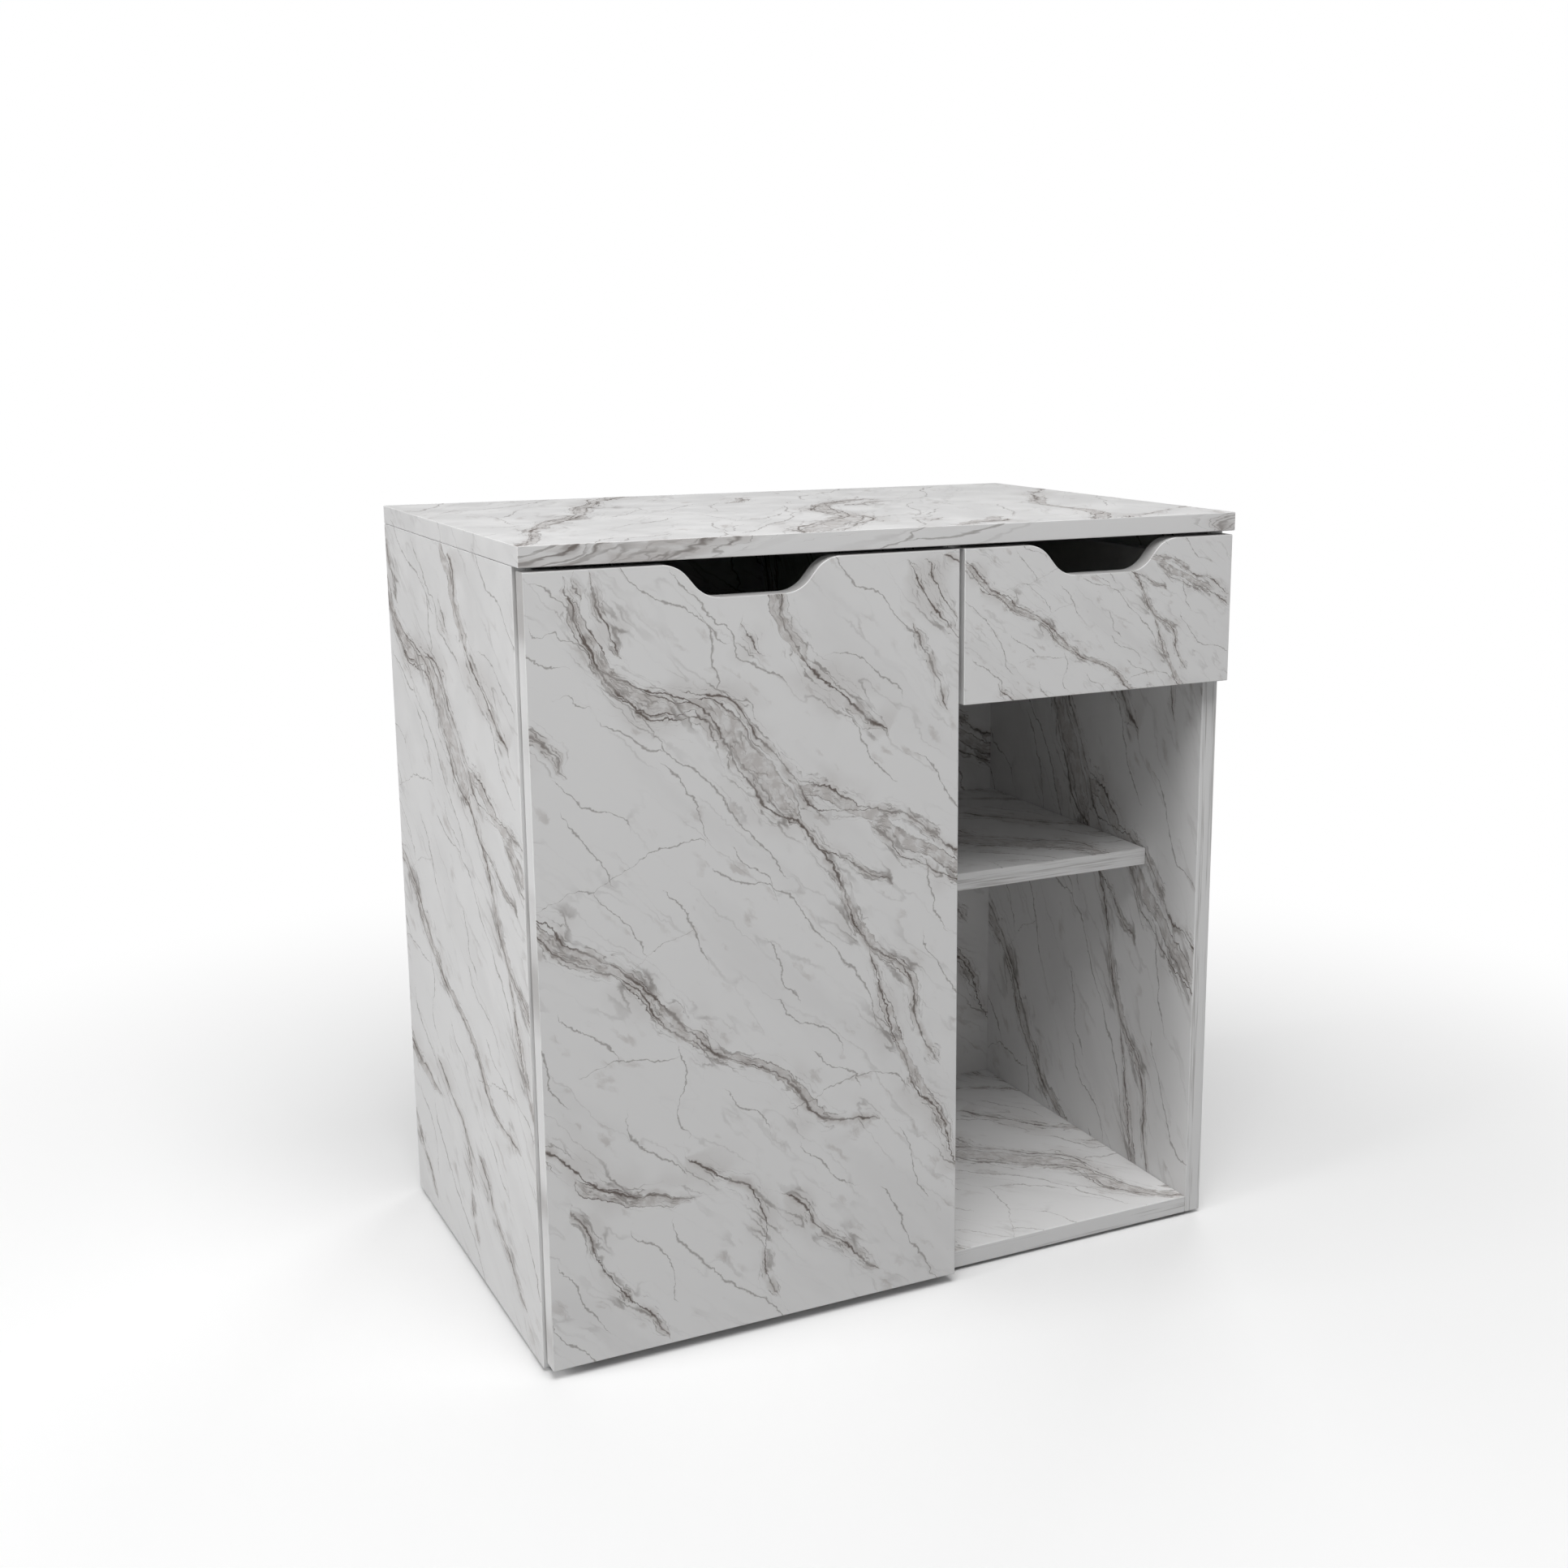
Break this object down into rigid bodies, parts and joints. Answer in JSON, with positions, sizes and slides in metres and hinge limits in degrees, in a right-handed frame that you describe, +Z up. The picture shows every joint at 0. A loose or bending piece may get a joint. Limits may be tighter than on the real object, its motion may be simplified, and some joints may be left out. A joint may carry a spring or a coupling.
{
  "type": "bathroom vanity cabinet",
  "caption": "Floor-standing bathroom vanity cabinet in marble-look board: a full-height door, a drawer above an open niche with a shelf, and finger notches for pulls.",
  "frame": {"origin": "on the floor, in the middle of the overall width and depth", "axes": "+Z up, +X to the right seen from the front, front towards -Y"},
  "size_m": [0.6, 0.385, 0.619],
  "materials": {
    "marble_laminate": "satin marble-print laminate on board",
    "marble_back": "satin marble-print thin board",
    "white_laminate": "satin white laminate on board",
    "white_plastic": "moulded",
    "nickel_steel": "nickel plated",
    "zinc_steel": "zinc plated",
    "clear_pad": "soft clear pad"
  },
  "bodies": {
    "carcass": {"top_panel": "marble_laminate", "left_side_panel": "marble_laminate", "right_side_panel": "marble_laminate", "bottom_panel": "marble_laminate", "divider_panel": "marble_laminate", "niche_top_panel": "marble_laminate", "rear_rail": "marble_laminate", "back_panel": "marble_back", "niche_shelf": "marble_laminate", "door_shelf": "marble_laminate", "niche_shelf_pin_left_front": "white_plastic", "niche_shelf_pin_left_rear": "white_plastic", "niche_shelf_pin_right_front": "white_plastic", "niche_shelf_pin_right_rear": "white_plastic", "door_shelf_pin_left_front": "white_plastic", "door_shelf_pin_left_rear": "white_plastic", "door_shelf_pin_right_front": "white_plastic", "door_shelf_pin_right_rear": "white_plastic", "glide_left_front": "white_plastic", "glide_left_rear": "white_plastic", "glide_right_front": "white_plastic", "glide_right_rear": "white_plastic", "top_left_front_cam_bolt": "nickel_steel", "top_left_rear_cam_bolt": "nickel_steel", "top_right_front_cam_bolt": "nickel_steel", "top_right_rear_cam_bolt": "nickel_steel", "bottom_left_front_cam_bolt": "nickel_steel", "bottom_left_rear_cam_bolt": "nickel_steel", "bottom_right_front_cam_bolt": "nickel_steel", "bottom_right_rear_cam_bolt": "nickel_steel", "top_left_front_cam_lock": "zinc_steel", "top_left_rear_cam_lock": "zinc_steel", "top_right_front_cam_lock": "zinc_steel", "top_right_rear_cam_lock": "zinc_steel", "bottom_left_front_cam_lock": "zinc_steel", "bottom_left_rear_cam_lock": "zinc_steel", "bottom_right_front_cam_lock": "zinc_steel", "bottom_right_rear_cam_lock": "zinc_steel", "hinge_plate_lower": "nickel_steel", "hinge_plate_upper": "nickel_steel", "hinge_arm_lower": "nickel_steel", "hinge_arm_upper": "nickel_steel", "slide_outer_left": "zinc_steel", "slide_outer_right": "zinc_steel"},
    "door": {"door_panel": "marble_laminate", "hinge_cup_lower": "nickel_steel", "hinge_cup_upper": "nickel_steel", "door_bumper_lower": "clear_pad", "door_bumper_upper": "clear_pad"},
    "hinge_links": {"hinge_link_lower": "nickel_steel", "hinge_link_upper": "nickel_steel"},
    "drawer": {"drawer_front": "marble_laminate", "drawer_bottom": "white_laminate", "drawer_left_side": "white_laminate", "drawer_right_side": "white_laminate", "drawer_back": "white_laminate", "slide_inner_left": "zinc_steel", "slide_inner_right": "zinc_steel"},
    "slide_middles": {"slide_middle_left": "zinc_steel", "slide_middle_right": "zinc_steel"}
  },
  "joints": [
    {"name": "door_hinge", "type": "hinge", "parent": "carcass", "child": "door", "pos_m": [-0.293, -0.1835, 0.304], "axis": [0, 0, -1], "range_deg": [0, 105]},
    {"name": "hinge_link_turn", "type": "hinge", "parent": "carcass", "child": "hinge_links", "pos_m": [-0.293, -0.1835, 0.304], "axis": [0, 0, -1], "range_deg": [0, 52.5]},
    {"name": "drawer_slide", "type": "slide", "parent": "carcass", "child": "drawer", "axis": [0, -1, 0], "range_m": [0, 0.28]},
    {"name": "slide_middle_travel", "type": "slide", "parent": "carcass", "child": "slide_middles", "axis": [0, -1, 0], "range_m": [0, 0.14]}
  ],
  "couplings": [
    {"joint": "hinge_link_turn", "follows": "door_hinge", "ratio": 0.5},
    {"joint": "slide_middle_travel", "follows": "drawer_slide", "ratio": 0.5}
  ]
}
